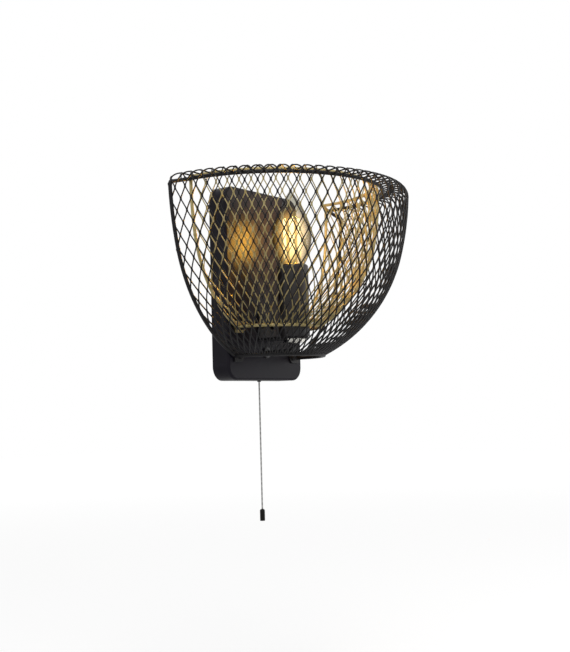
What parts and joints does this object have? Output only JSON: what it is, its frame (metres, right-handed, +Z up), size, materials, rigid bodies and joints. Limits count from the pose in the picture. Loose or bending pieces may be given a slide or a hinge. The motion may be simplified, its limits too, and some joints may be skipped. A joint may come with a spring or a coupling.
{
  "type": "wall sconce",
  "caption": "Wall sconce with a black expanded-metal half bowl round a gold one, a candle bulb on an arm, a flat wall cover and a pull cord switch.",
  "frame": {"origin": "on the wall plane, midway between the bracket's two slots for the wall screws", "axes": "+Y into the wall, +Z up, +X to the right as seen by a person who faces the wall"},
  "size_m": [0.2534, 0.1478, 0.2934],
  "materials": {
    "black_steel": "satin powder coat",
    "gold_steel": "satin gold paint",
    "zinc_steel": "zinc plated",
    "brass": "bright",
    "black_plastic": "moulded",
    "white_plastic": "moulded",
    "red_plastic": "moulded",
    "lead_sheath": "soft",
    "nickel": "nickel plated",
    "clear_glass": "clear",
    "filament": "phosphor coat",
    "grey_cord": "braided"
  },
  "bodies": {
    "root": {"wall_bracket": "zinc_steel", "cover": "black_steel", "cover_screws": "zinc_steel", "earth_screw": "brass", "terminal_block": "white_plastic", "terminal_screws": "brass", "outer_mesh": "black_steel", "outer_top_ring": "black_steel", "outer_side_wires": "black_steel", "outer_bottom_ring": "black_steel", "inner_mesh": "gold_steel", "inner_top_ring": "gold_steel", "inner_side_wires": "gold_steel", "inner_bottom_ring": "gold_steel", "shade_screws": "black_steel", "shade_nuts": "zinc_steel", "lamp_arm": "black_steel", "arm_screws": "black_steel", "arm_nuts": "zinc_steel", "nipple": "brass", "nipple_nut": "brass", "lead_grommet": "black_plastic", "holder_lead": "lead_sheath", "switch_leads": "lead_sheath", "holder_body": "black_plastic", "holder_sleeve": "black_plastic", "holder_shell": "brass", "holder_contact": "brass", "bulb_cap": "nickel", "bulb_insulator": "black_plastic", "bulb_glass": "clear_glass", "bulb_stem": "clear_glass", "filaments": "filament", "switch_case": "white_plastic", "switch_lid": "white_plastic", "switch_contacts": "brass", "cord_bush": "black_plastic"},
    "pull": {"switch_slider": "red_plastic", "cord_tail": "grey_cord", "pull_cord": "grey_cord", "cord_bob": "black_plastic"},
    "ratchet": {"switch_ratchet": "white_plastic"}
  },
  "joints": [
    {"name": "cord_pull", "type": "slide", "parent": "root", "child": "pull", "axis": [0, 0, -1], "range_m": [0, 0.006], "stiffness_N_per_m": 400, "springref_m": -0.002},
    {"name": "ratchet_turn", "type": "hinge", "parent": "root", "child": "ratchet", "pos_m": [0, -0.006, -0.0731], "axis": [0, 1, 0], "range_deg": [0, 45]}
  ],
  "couplings": [
    {"joint": "ratchet_turn", "follows": "cord_pull", "rad_per_m": 130.8}
  ]
}
